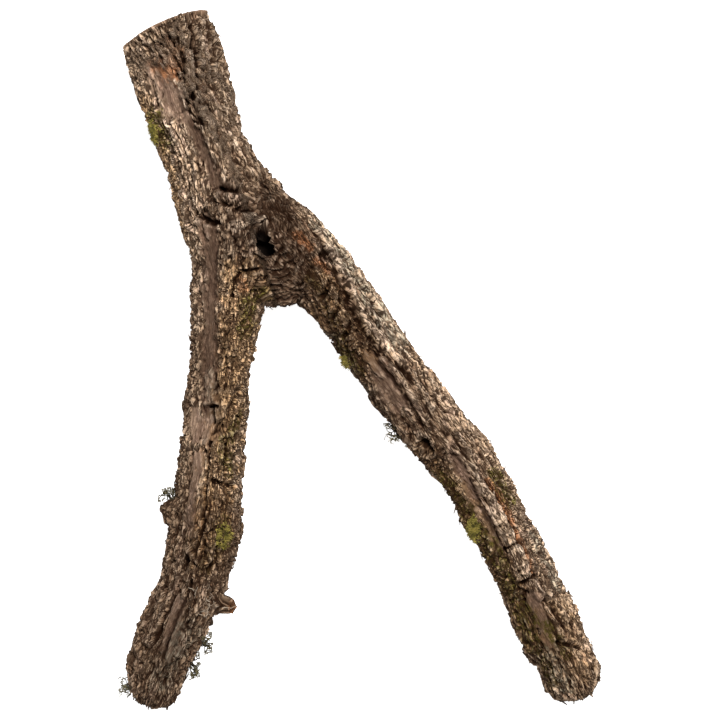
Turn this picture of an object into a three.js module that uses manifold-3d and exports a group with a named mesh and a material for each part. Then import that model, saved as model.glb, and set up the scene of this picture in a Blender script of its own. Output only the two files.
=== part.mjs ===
// A fallen, forked tree branch with thick corky bark, lying on a level surface.
//
// Millimetres, +Z up. +Y runs towards the thick sawn end of the trunk, and the two limbs run towards -Y.
// The branch rests on three small worn flats: under the trunk's end and under the end of each limb.
// It grew as one piece of wood, so it is split only where its limbs leave the trunk. Moss cushions and
// lichen tufts grow on the bark as pieces of their own.

import * as THREE from 'three';
import { mergeVertices } from 'three/addons/utils/BufferGeometryUtils.js';
import Module from 'manifold-3d';

const TWO_PI = 2 * Math.PI;

// Clearance between two pieces that touch.
const GAP = 0.3;
// Side of the blocks that saw the wood off: longer than the whole branch.
const BLOCK = 1400;

// Centre lines of the wood. Each station is its x, y, height of the centre, and the radius there.
const TRUNK_LINE = [
  [-180, 309, 40, 43],
  [-162, 269, 40, 41.5],
  [-148, 227, 40, 38],
  [-134, 186, 42, 38],
  [-122, 150, 44, 39],
  [-111, 110, 45, 38],
  [-104, 75, 44, 31],
];
const LEFT_LINE = [
  [-112, 98, 43, 32],
  [-114, 58, 41, 30],
  [-117, 25, 39, 28],
  [-121, -12, 37, 26],
  [-124, -56, 35, 26.5],
  [-129, -104, 33, 27.5],
  [-133, -140, 31, 30],
  [-141, -172, 28, 28.5],
  [-149, -202, 26.5, 28.5],
  [-161, -228, 26, 28.5],
  [-172, -255, 25, 26.5],
  [-179, -281, 23, 25],
];
const RIGHT_LINE = [
  [-86, 124, 43, 30],
  [-54, 96, 42, 31],
  [-20, 56, 40, 28],
  [18, 4, 38, 27],
  [54, -45, 36, 28.5],
  [90, -88, 33, 27],
  [115, -133, 30, 25],
  [140, -177, 27.5, 26],
  [160, -221, 25.5, 27],
  [177, -257, 24, 26],
  [184, -275, 24, 25],
];
// A short side twig, broken off near the foot of the left limb.
const STUB_LINE = [
  [-146, -205, 30, 13],
  [-128, -209, 33, 11],
  [-113, -211, 35, 8],
];

// Furrows sunk along the upper side of a limb: angle around the limb at its start and at its end,
// where 0 is the side towards +X and 90 degrees is the top, with depth and half-width.
const TRUNK_FURROW = { startAngle: 140, endAngle: 100, depth: 5, spread: 16 };
const LEFT_FURROW = { startAngle: 112, endAngle: 118, depth: 3.5, spread: 13 };
const RIGHT_FURROW = { startAngle: 75, endAngle: 50, depth: 3, spread: 13 };

// A limb's rounded end: its length as a share of the radius, the turns in degrees of the rings on it, and
// how far its tip stands beyond the last ring.
const END_ROUNDING = 0.7;
const END_TURNS = [30, 55, 75];
const END_TIP = 0.5;

// Uneven bark: height of the lumps, how long they are along the limb, how many waves make them, how far
// the waves lean around the limb, and how strong the waves are that ring it.
const LUMP_HEIGHT = 1.02;
const LUMP_PITCH = 120;
const LUMP_WAVES = 5;
const LUMP_LEAN = 0.6;
const LUMP_RINGS = 0.6;

// The knotted swelling where the limbs part, and the hollow of a dead side shoot in it.
const BURL = { centre: [-84, 93, 43], radii: [50, 39, 35], lumps: 0.07, detail: 5 };
const KNOT_HOLLOW = { centre: [-79, 98, 80], radii: [6, 8, 20], lumps: 0.1, detail: 2 };

// Swellings of the bark along the limbs.
const SWELLINGS = [
  { on: 'trunk', centre: [-166, 194, 40], radii: [11, 15, 15] },
  { on: 'trunk', centre: [-88, 152, 50], radii: [12, 16, 15] },
  { on: 'trunk', centre: [-75, 147, 47], radii: [9, 9, 13] },
  { on: 'left_limb', centre: [-145, -73, 33], radii: [10, 15, 14] },
  { on: 'left_limb', centre: [-158, -130, 33], radii: [12, 13, 14] },
  { on: 'right_limb', centre: [66, -73, 40], radii: [16, 17, 24] },
  { on: 'right_limb', centre: [16, 26, 42], radii: [13, 16, 16] },
];

// Sawn faces: a point on the face, and the direction that the removed wood lies in.
const SAWN_END = { point: [-172, 284.5, 0], outward: [-0.41, 0.91, 0.04] };
const LEFT_PARTING = { point: [-114, 44, 0], outward: [-0.05, -1, 0] };
const RIGHT_PARTING = { point: [-29, 70, 0], outward: [0.55, -0.84, 0] };
// The upright plane through the crotch that has one limb on each side.
const LEFT_OF_CROTCH = { point: [-62, 45, 0], outward: [-1, -0.2, 0] };
const RIGHT_OF_CROTCH = { point: [-62, 45, 0], outward: [1, 0.2, 0] };

// Moss and lichen: the middle of each growth and its reach along X, Y and Z.
const MOSS_CUSHIONS = [
  { name: 'moss_on_trunk', centre: [-174, 196, 52], radii: [10, 12, 12] },
  { name: 'moss_below_fork', centre: [-11, 4, 40], radii: [8, 12, 9] },
  { name: 'moss_on_right_limb', centre: [98, -141, 43], radii: [8, 15, 8] },
  { name: 'moss_on_left_limb', centre: [-117, -147, 52], radii: [9, 13, 9] },
];
const LICHEN_TUFTS = [
  { name: 'lichen_left_knob', centre: [-164, -119, 36], radii: [8, 8, 8] },
  { name: 'lichen_left_foot', centre: [-149, -262, 26], radii: [8, 10, 8] },
  { name: 'lichen_left_shin', centre: [-138, -242, 30], radii: [8, 9, 8] },
  { name: 'lichen_left_end', centre: [-199, -285, 17], radii: [10, 7, 7] },
  { name: 'lichen_right_knob', centre: [30, -64, 38], radii: [11, 9, 8] },
];

const wasm = await Module();
wasm.setup();

// Makes a solid from a closed three.js geometry.
function solidFrom(geometry) {
  geometry.deleteAttribute('normal');
  geometry.deleteAttribute('uv');
  const merged = mergeVertices(geometry, 1e-3);
  return new wasm.Manifold(new wasm.Mesh({
    numProp: 3,
    vertProperties: new Float32Array(merged.attributes.position.array),
    triVerts: new Uint32Array(merged.index.array),
  }));
}

// Height of the uneven bark at an angle around a limb and a distance along it.
function barkLumps(angle, distance, seed) {
  let height = 0;
  for (let wave = 1; wave <= LUMP_WAVES; wave += 1) {
    const along = (wave * TWO_PI * distance) / LUMP_PITCH;
    const lean = wave % 2 === 0 ? LUMP_LEAN : -LUMP_LEAN;
    height += Math.sin(wave * angle + lean * along + seed * wave) / Math.sqrt(wave);
    height += (LUMP_RINGS * Math.cos(along + seed + wave * wave)) / wave;
  }
  return height * LUMP_HEIGHT;
}

// Depth of a furrow at an angle around a limb, for a place between its start (0) and end (1).
function furrowDepth(furrow, angle, place, radius) {
  const middle = THREE.MathUtils.degToRad(THREE.MathUtils.lerp(furrow.startAngle, furrow.endAngle, place));
  const across = (radius * Math.abs(angle - middle)) / furrow.spread;
  return furrow.depth * Math.exp(-across * across);
}

// Lofts a limb: rings around its centre line, drawn in to a rounded end past its last station.
function limb({ line, sides, step, seed, furrow = null, grow = 0, lumps = 1 }) {
  const centres = new THREE.CatmullRomCurve3(line.map(([x, y, z]) => new THREE.Vector3(x, y, z)));
  const radii = new THREE.SplineCurve(line.map((station, i) => new THREE.Vector2(i, station[3])));
  const length = centres.getLength();
  const ringCount = Math.round(length / step);
  const up = new THREE.Vector3(0, 0, 1);

  const ringPlaces = [];
  for (let i = 0; i <= ringCount; i += 1) {
    ringPlaces.push({ place: i / ringCount, beyond: 0, draw: 1 });
  }
  for (const turn of END_TURNS) {
    const slope = THREE.MathUtils.degToRad(turn);
    ringPlaces.push({ place: 1, beyond: END_ROUNDING * Math.sin(slope), draw: Math.cos(slope) });
  }

  const positions = [];
  const endCentres = [];
  for (const { place, beyond, draw } of ringPlaces) {
    const radius = radii.getPoint(place).y;
    const forward = centres.getTangent(place);
    const side = new THREE.Vector3().crossVectors(up, forward).normalize();
    const top = new THREE.Vector3().crossVectors(forward, side);
    const centre = centres.getPoint(place).addScaledVector(forward, beyond * radius);
    endCentres.push(centre);
    for (let k = 0; k < sides; k += 1) {
      const angle = (TWO_PI * k) / sides;
      const distance = place * length + beyond * radius;
      const sunk = furrow ? furrowDepth(furrow, angle, place, radius) : 0;
      const reach = draw * (radius + lumps * barkLumps(angle, distance, seed) - sunk) + grow;
      const point = centre.clone();
      point.addScaledVector(side, reach * Math.cos(angle));
      point.addScaledVector(top, reach * Math.sin(angle));
      positions.push(point.x, point.y, point.z);
    }
  }

  const lastRing = ringPlaces.length - 1;
  const startPole = positions.length / 3;
  positions.push(...endCentres[0].toArray());
  const endPole = startPole + 1;
  const tip = centres.getTangent(1).multiplyScalar(grow + END_TIP).add(endCentres[lastRing]);
  positions.push(...tip.toArray());

  const triangles = [];
  for (let k = 0; k < sides; k += 1) {
    const next = (k + 1) % sides;
    for (let i = 0; i < lastRing; i += 1) {
      const here = i * sides;
      const ahead = here + sides;
      triangles.push(here + k, here + next, ahead + k);
      triangles.push(here + next, ahead + next, ahead + k);
    }
    triangles.push(startPole, next, k);
    triangles.push(endPole, lastRing * sides + k, lastRing * sides + next);
  }

  const geometry = new THREE.BufferGeometry();
  geometry.setAttribute('position', new THREE.Float32BufferAttribute(positions, 3));
  geometry.setIndex(triangles);
  return solidFrom(geometry);
}

// Makes a lumpy ball, for a swelling, a hollow or a cushion.
function lumpyBall({ centre, radii, lumps = 0.06, detail = 2, seed = 0, grow = 0 }) {
  const ball = new THREE.IcosahedronGeometry(1, detail);
  const spots = ball.attributes.position;
  const spot = new THREE.Vector3();
  for (let i = 0; i < spots.count; i += 1) {
    spot.fromBufferAttribute(spots, i);
    const swell = Math.sin(4 * spot.x + seed) + Math.sin(5 * spot.y + 2 * seed) + Math.sin(4.5 * spot.z + 1);
    spot.multiplyScalar(1 + lumps * swell);
    spots.setXYZ(i, spot.x * (radii[0] + grow), spot.y * (radii[1] + grow), spot.z * (radii[2] + grow));
  }
  ball.translate(...centre);
  return solidFrom(ball);
}

// Makes the block that fills the outward side of a sawn face, moved outward by a distance.
function blockBeyond({ point, outward }, shift = 0) {
  const direction = new THREE.Vector3(...outward).normalize();
  const block = new THREE.BoxGeometry(BLOCK, BLOCK, BLOCK);
  const turn = new THREE.Quaternion().setFromUnitVectors(new THREE.Vector3(0, 0, 1), direction);
  block.applyQuaternion(turn);
  const middle = new THREE.Vector3(...point).addScaledVector(direction, BLOCK / 2 + shift);
  block.translate(middle.x, middle.y, middle.z);
  return solidFrom(block);
}

// Keeps the largest body of a solid, so that a cut leaves no crumbs.
function largestBody(solid) {
  const bodies = solid.decompose();
  return bodies.reduce((best, body) => (body.volume() > best.volume() ? body : best));
}

const floor = blockBeyond({ point: [0, 0, 0], outward: [0, 0, -1] });
const beyondSaw = blockBeyond(SAWN_END);

// The space that holds the left or the right limb, set off from the trunk by a distance.
function leftSpace(shift = 0) {
  return blockBeyond(LEFT_PARTING, shift).intersect(blockBeyond(LEFT_OF_CROTCH));
}

function rightSpace(shift = 0) {
  return blockBeyond(RIGHT_PARTING, shift).intersect(blockBeyond(RIGHT_OF_CROTCH));
}

const TRUNK_SHAPE = { line: TRUNK_LINE, sides: 26, step: 10, seed: 1.3, furrow: TRUNK_FURROW };
const LEFT_SHAPE = { line: LEFT_LINE, sides: 20, step: 10, seed: 2.9, furrow: LEFT_FURROW };
const RIGHT_SHAPE = { line: RIGHT_LINE, sides: 20, step: 10, seed: 4.1, furrow: RIGHT_FURROW };
const STUB_SHAPE = { line: STUB_LINE, sides: 14, step: 5, seed: 0.7, lumps: 0.35 };

function swellingsOn(name, grow) {
  return SWELLINGS.filter(({ on }) => on === name).map((swelling) => lumpyBall({ ...swelling, grow }));
}

// All the wood of the branch but its twig, grown outwards by a clearance.
function wood(grow = 0) {
  const bodies = [
    limb({ ...TRUNK_SHAPE, grow }),
    limb({ ...LEFT_SHAPE, grow }),
    limb({ ...RIGHT_SHAPE, grow }),
    lumpyBall({ ...BURL, grow }),
    ...swellingsOn('trunk', grow),
    ...swellingsOn('left_limb', grow),
    ...swellingsOn('right_limb', grow),
  ];
  return wasm.Manifold.union(bodies);
}

const wholeWood = wood().subtract(floor).subtract(beyondSaw);
const woodAndGap = wood(GAP);

function makeTrunk() {
  const trunk = wholeWood.subtract(leftSpace()).subtract(rightSpace());
  return largestBody(trunk.subtract(lumpyBall(KNOT_HOLLOW)));
}

function makeLimb(space) {
  return largestBody(wholeWood.intersect(space));
}

function makeStub() {
  return largestBody(limb(STUB_SHAPE).subtract(woodAndGap));
}

// A growth sits on the bark: a lumpy ball less the wood and the clearance around it.
function makeGrowth(growth, seed) {
  const stub = limb({ ...STUB_SHAPE, grow: GAP });
  return largestBody(lumpyBall({ ...growth, seed }).subtract(woodAndGap).subtract(stub).subtract(floor));
}

function meshOf(name, solid, material) {
  const { vertProperties, triVerts } = solid.getMesh();
  const geometry = new THREE.BufferGeometry();
  geometry.setAttribute('position', new THREE.BufferAttribute(vertProperties, 3));
  geometry.setIndex(new THREE.BufferAttribute(triVerts, 1));
  geometry.computeVertexNormals();
  const mesh = new THREE.Mesh(geometry, material);
  mesh.name = name;
  return mesh;
}

function bark(color) {
  return new THREE.MeshStandardMaterial({ color, roughness: 0.95, metalness: 0 });
}

const moss = () => new THREE.MeshStandardMaterial({ color: 0x6f7030, roughness: 1, metalness: 0 });
const lichen = () => new THREE.MeshStandardMaterial({ color: 0x6a6152, roughness: 1, metalness: 0 });

const branch = new THREE.Group();
branch.add(meshOf('trunk', makeTrunk(), bark(0x6e5a49)));
branch.add(meshOf('left_limb', makeLimb(leftSpace(GAP)), bark(0x7a6450)));
branch.add(meshOf('right_limb', makeLimb(rightSpace(GAP)), bark(0x7d6a56)));
branch.add(meshOf('twig_stub', makeStub(), bark(0x74513f)));
MOSS_CUSHIONS.forEach((cushion, i) => branch.add(meshOf(cushion.name, makeGrowth(cushion, i), moss())));
LICHEN_TUFTS.forEach((tuft, i) => branch.add(meshOf(tuft.name, makeGrowth(tuft, i + 7), lichen())));

// The origin is under the middle of the branch, on the surface that it lies on.
const box = new THREE.Box3().setFromObject(branch);
const middle = box.getCenter(new THREE.Vector3());
branch.position.set(-middle.x, -middle.y, -box.min.z);

const part = new THREE.Group();
part.add(branch);
export default part;
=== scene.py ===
"""The looks of a fallen, forked branch with deep corky bark, lying on a pale floor.

The wood's surface grows out of the CAD solids: they are joined into one skin, and bark is raised on it by
height fields that follow each limb, in millimetres. The skin is then parted again where the CAD parts are.
"""

from concurrent.futures import ThreadPoolExecutor

import bmesh
import bpy
import numpy as np
import openvdb
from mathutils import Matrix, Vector
from mathutils.bvhtree import BVHTree


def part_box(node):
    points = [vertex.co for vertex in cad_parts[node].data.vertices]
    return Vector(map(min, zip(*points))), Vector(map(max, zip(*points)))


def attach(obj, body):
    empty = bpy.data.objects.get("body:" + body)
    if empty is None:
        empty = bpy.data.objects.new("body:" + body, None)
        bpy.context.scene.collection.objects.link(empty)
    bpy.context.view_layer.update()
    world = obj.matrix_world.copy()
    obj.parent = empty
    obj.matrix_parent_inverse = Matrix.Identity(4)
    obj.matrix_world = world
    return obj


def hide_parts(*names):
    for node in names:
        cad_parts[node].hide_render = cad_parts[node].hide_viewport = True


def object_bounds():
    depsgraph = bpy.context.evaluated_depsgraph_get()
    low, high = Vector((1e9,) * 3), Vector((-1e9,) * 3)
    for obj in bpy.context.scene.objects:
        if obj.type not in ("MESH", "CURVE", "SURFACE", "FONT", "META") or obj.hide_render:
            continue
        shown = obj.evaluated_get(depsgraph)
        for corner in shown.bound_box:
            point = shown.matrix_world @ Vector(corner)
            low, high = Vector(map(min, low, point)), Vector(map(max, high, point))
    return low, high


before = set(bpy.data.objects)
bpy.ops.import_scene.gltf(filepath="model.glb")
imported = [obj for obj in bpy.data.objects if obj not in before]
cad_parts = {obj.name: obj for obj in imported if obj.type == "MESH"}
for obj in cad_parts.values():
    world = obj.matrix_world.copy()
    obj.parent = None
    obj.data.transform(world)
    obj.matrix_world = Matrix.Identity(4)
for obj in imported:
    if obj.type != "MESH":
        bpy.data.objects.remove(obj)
cad_box = [list(corner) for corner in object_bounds()]

MM = 0.001
WOOD_NODES = ["trunk", "left_limb", "right_limb", "twig_stub"]
SKIN_CELL = 1.1  # spacing of the skin's points, mm
SKIN_OFFSET = 0.4  # how far outside the CAD solids the skin starts, which bridges their clearances, mm
SKIN_SMOOTHING = 20  # passes over the joined skin, before the bark is raised on it
BARK_DEPTH = 1.25  # how strongly the bark's relief is raised
MARK_DEPTH = 1.3  # and how strongly the single marks are
FADE = 1.35  # how many half-widths from its path a zone or a mark ends
SHARPENING = 0.2
SWELLING = 0.4  # how far the crests of the bark swell over its cracks, mm
LOWEST = 0.05  # nothing of the wood comes nearer to the floor, mm
BODY = "root"
FLAKES = 1000
FLAKE_LENGTHS, FLAKE_WIDTHS, FLAKE_LIFTS = (4.0, 11.0), (1.0, 2.8), (0.0, 0.9)  # from and to, mm
FLAKE_THICKNESS = 0.56  # at the root; half as much at the tip, mm
SPARSE_MOSS = ("moss_on_left_limb", "moss_below_fork")
SPARSE_BLADES, BLADES = 500, 1400
LICHEN_STEMS = 8
ROOTLETS = 26


# ---------------------------------------------------------------- noise

random = np.random.default_rng(11)
GRADIENTS = random.normal(size=(256, 3))
GRADIENTS = (GRADIENTS / np.linalg.norm(GRADIENTS, axis=1)[:, None]).astype(np.float32)
JITTERS = random.random((1024, 3)).astype(np.float32)
PRIMES = (73856093, 19349663, 83492791)
BLOCK = 16384
workers = ThreadPoolExecutor(4)


def in_blocks(function, points, *settings):
    """Runs a function of many points block by block, on all cores, and joins the results."""
    blocks = [points[first:first + BLOCK] for first in range(0, len(points), BLOCK)]
    results = list(workers.map(lambda block: function(block, *settings), blocks))
    if isinstance(results[0], tuple):
        return tuple(np.concatenate(column) for column in zip(*results))
    return np.concatenate(results)


def shuffled(number, seed):
    """Random-looking whole numbers, made from others and a seed."""
    number = number ^ (seed * 9973 + 101)
    number = (number ^ (number >> 13)) * 1274126177
    return number ^ (number >> 16)


def noise_block(points, seed):
    cell = np.floor(points)
    inside = (points - cell).astype(np.float32).T
    fade = inside**3 * (inside * (inside * 6 - 15) + 10)
    cell = cell.astype(np.int64).T
    keys = [[(cell[k] + step_on) * PRIMES[k] for step_on in (0, 1)] for k in range(3)]
    total = np.zeros(len(points), np.float32)
    for corner in range(8):
        i, j, k = corner & 1, corner >> 1 & 1, corner >> 2
        number = shuffled(keys[0][i] ^ keys[1][j] ^ keys[2][k], seed) & 255
        weight = fade[0] if i else 1 - fade[0]
        weight = weight * (fade[1] if j else 1 - fade[1])
        weight = weight * (fade[2] if k else 1 - fade[2])
        gradient = GRADIENTS[number]
        slope = gradient[:, 0] * (inside[0] - i) + gradient[:, 1] * (inside[1] - j)
        total += weight * (slope + gradient[:, 2] * (inside[2] - k))
    return total * 1.7


def smooth_noise(points, seed):
    """Gradient noise, mostly between -1 and 1."""
    return in_blocks(noise_block, points, seed)


def ridges(points, seed):
    """Sharp crests between 0 and 1 where the noise changes sign."""
    return 1 - np.clip(np.abs(smooth_noise(points, seed)) * 1.6, 0, 1)


def plates_block(points, seed):
    cell = np.floor(points)
    inside = (points - cell).astype(np.float32)
    cell = cell.astype(np.int64).T
    nearest = np.full(len(points), 9.0, np.float32)
    second = nearest.copy()
    chosen = np.zeros(len(points), np.int64)
    offset = np.zeros((len(points), 3), np.float32)
    for turn in range(27):
        move = np.array([turn % 3 - 1, turn // 3 % 3 - 1, turn // 9 - 1])
        x, y, z = [(cell[k] + move[k]) * PRIMES[k] for k in range(3)]
        number = shuffled(x ^ y ^ z, seed) & 1023
        away = JITTERS[number] + move.astype(np.float32) - inside
        distance = away[:, 0] ** 2 + away[:, 1] ** 2 + away[:, 2] ** 2
        closer = distance < nearest
        second = np.where(closer, nearest, np.minimum(second, distance))
        nearest = np.where(closer, distance, nearest)
        chosen = np.where(closer, number, chosen)
        offset = np.where(closer[:, None], away, offset)
    return np.sqrt(second) - np.sqrt(nearest), JITTERS[(chosen * 7 + 3) & 1023], offset


def plates(points, seed):
    """Cell noise: 0 at a cell's border and more inside, its random numbers, and the way to its middle."""
    return in_blocks(plates_block, points, seed)


def step(low, high, value):
    """A smooth rise from 0 at low to 1 at high."""
    share = np.clip((value - low) / (high - low), 0, 1)
    return share * share * (3 - 2 * share)


# ---------------------------------------------------------------- the limbs' centre lines


def node_points(name):
    """A CAD node's vertices, in millimetres."""
    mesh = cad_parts[name].data
    points = np.empty(len(mesh.vertices) * 3, np.float32)
    mesh.vertices.foreach_get("co", points)
    return points.reshape(-1, 3).astype(float) / MM


def node_triangles(name):
    """A CAD node's triangles, as vertex numbers."""
    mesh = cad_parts[name].data
    mesh.calc_loop_triangles()
    corners = np.empty(len(mesh.loop_triangles) * 3, np.int32)
    mesh.loop_triangles.foreach_get("vertices", corners)
    return corners.reshape(-1, 3)


def node_box(name):
    """The low and high corner of a CAD node's box, in millimetres."""
    return [np.array(corner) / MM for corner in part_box(name)]


def slab_centres(points, start, end, slabs, low, high):
    """Centres and half-widths of slabs across a limb, between two shares of its way from start to end."""
    forward = np.array([end[0] - start[0], end[1] - start[1], 0.0])
    forward /= np.linalg.norm(forward)
    across = np.array([-forward[1], forward[0], 0.0])
    along = points @ forward
    edges = along.min() + np.ptp(along) * np.linspace(low, high, slabs + 1)
    centres = []
    for near, far in zip(edges[:-1], edges[1:]):
        slab = points[(along >= near) & (along <= far)]
        sideways = slab @ across
        middle = (sideways.min() + sideways.max()) / 2
        height = (slab[:, 2].min() + slab[:, 2].max()) / 2
        width = np.ptp(sideways) / 2
        centre = forward * (near + far) / 2 + across * middle
        centres.append([centre[0], centre[1], height, width])
    return centres


class Limb:
    """A limb's smooth centre line, and the coordinates along and around it."""

    SPACING = 2.0  # between the centre line's points, mm
    STRIDE = 8  # of the first, coarse search for the nearest one
    SMOOTHING = 60  # passes

    def __init__(self, stations):
        stations = np.array(stations)
        for _ in range(2):
            stations[1:-1] = (stations[:-2] + 2 * stations[1:-1] + stations[2:]) / 4
        gaps = np.linalg.norm(np.diff(stations[:, :3], axis=0), axis=1)
        along = np.concatenate([[0], np.cumsum(gaps)])
        places = np.arange(0, along[-1], self.SPACING)
        fine = np.stack([np.interp(places, along, stations[:, k]) for k in range(4)], axis=1)
        for _ in range(self.SMOOTHING):
            fine[1:-1] = (fine[:-2] + 2 * fine[1:-1] + fine[2:]) / 4
        self.centres = fine[:, :3]
        self.radii = fine[:, 3]
        self.places = places
        forward = np.gradient(self.centres, axis=0)
        self.forward = forward / np.linalg.norm(forward, axis=1)[:, None]
        side = np.cross([0, 0, 1], self.forward)
        self.side = side / np.linalg.norm(side, axis=1)[:, None]
        self.top = np.cross(self.forward, self.side)

    def nearest_place(self, points):
        """The number of the centre-line point nearest to each point."""
        gap = points[:, None, :2] - self.centres[None, ::self.STRIDE, :2]
        guess = np.einsum("ijk,ijk->ij", gap, gap).argmin(1) * self.STRIDE
        window = guess[:, None] + np.arange(-self.STRIDE, self.STRIDE + 1)
        window = np.clip(window, 0, len(self.centres) - 1)
        gap = points[:, None] - self.centres[window]
        best = np.einsum("ijk,ijk->ij", gap, gap).argmin(1)
        return window[np.arange(len(points)), best]

    def locate(self, points):
        """Each point's distance along the limb, angle round it and distance out, then its radius and way."""
        nearest = in_blocks(self.nearest_place, points)
        away = points - self.centres[nearest]
        along = self.places[nearest] + np.einsum("ij,ij->i", away, self.forward[nearest])
        sideways = np.einsum("ij,ij->i", away, self.side[nearest])
        upwards = np.einsum("ij,ij->i", away, self.top[nearest])
        out = np.hypot(sideways, upwards)
        return along, np.arctan2(upwards, sideways), out, self.radii[nearest], self.forward[nearest]

def end_middle(points, depth):
    """The middle of the points within depth of their end towards +y, or towards -y if depth is negative."""
    y = points[:, 1]
    return points[y > y.max() - depth if depth > 0 else y < y.min() - depth].mean(0)


def find_limbs():
    """The stem runs from the sawn end into the left limb; the right limb starts inside the fork."""
    trunk = node_points("trunk")
    left = node_points("left_limb")
    right = node_points("right_limb")
    left_start = end_middle(left, 6)
    stem = slab_centres(trunk, end_middle(trunk, 20), left_start, 9, 0.02, 0.55)
    stem += slab_centres(left, left_start, end_middle(left, -20), 16, 0.02, 0.96)
    branch = slab_centres(right, end_middle(right, 12), end_middle(right, -20), 18, 0.05, 0.96)
    first, next_one = np.array(branch[0]), np.array(branch[2])
    backwards = (first - next_one) / np.linalg.norm((first - next_one)[:3])
    backwards[3] = 0
    branch = [first + backwards * 50, first + backwards * 25] + branch
    return Limb(stem), Limb(branch)


# ---------------------------------------------------------------- the skin


class Skin:
    """A closed surface of four-sided faces, as arrays, in millimetres."""

    def __init__(self, points, quads):
        self.points = points
        self.quads = quads
        sides = np.concatenate([quads[:, [0, 1]], quads[:, [1, 2]], quads[:, [2, 3]], quads[:, [3, 0]]])
        self.sides = np.unique(np.sort(sides, axis=1), axis=0)
        self.valence = np.bincount(self.sides.ravel(), minlength=len(points)).astype(float)

    def neighbour_mean(self, values):
        """The mean of each point's neighbours."""
        first, second = self.sides.T
        columns = values if values.ndim == 2 else values[:, None]
        mean = np.empty_like(columns)
        for k in range(columns.shape[1]):
            total = np.bincount(first, columns[second, k], len(self.points))
            total += np.bincount(second, columns[first, k], len(self.points))
            mean[:, k] = total / self.valence
        return mean if values.ndim == 2 else mean[:, 0]

    def blurred(self, values, passes):
        """Values at the points, evened out with their neighbours' once per pass."""
        for _ in range(passes):
            values = (values + self.neighbour_mean(values)) / 2
        return values

    def normals(self):
        """The outward normal at each point."""
        corner = self.points[self.quads]
        face = np.cross(corner[:, 2] - corner[:, 0], corner[:, 3] - corner[:, 1])
        total = np.zeros_like(self.points)
        for k in range(4):
            for axis in range(3):
                total[:, axis] += np.bincount(self.quads[:, k], face[:, axis], len(self.points))
        return total / np.maximum(np.linalg.norm(total, axis=1), 1e-9)[:, None]


def join_wood():
    """Joins the wood's CAD nodes into one smooth skin."""
    points, triangles, count = [], [], 0
    for name in WOOD_NODES:
        own = node_points(name)
        points.append(own)
        triangles.append(node_triangles(name) + count)
        count += len(own)
    transform = openvdb.createLinearTransform(voxelSize=SKIN_CELL)
    grid = openvdb.FloatGrid.createLevelSetFromPolygons(
        np.concatenate(points).astype(np.float32),
        triangles=np.concatenate(triangles).astype(np.uint32),
        transform=transform,
        halfWidth=4.0,
    )
    skin_points, quads = grid.convertToQuads(isovalue=SKIN_OFFSET)
    skin = Skin(np.array(skin_points, float), np.array(quads, np.int64)[:, ::-1])
    if np.einsum("ij,ij->i", skin.normals(), skin.points - skin.points.mean(0)).mean() < 0:
        skin.quads = skin.quads[:, ::-1]
    return skin


# ---------------------------------------------------------------- bark

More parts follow.
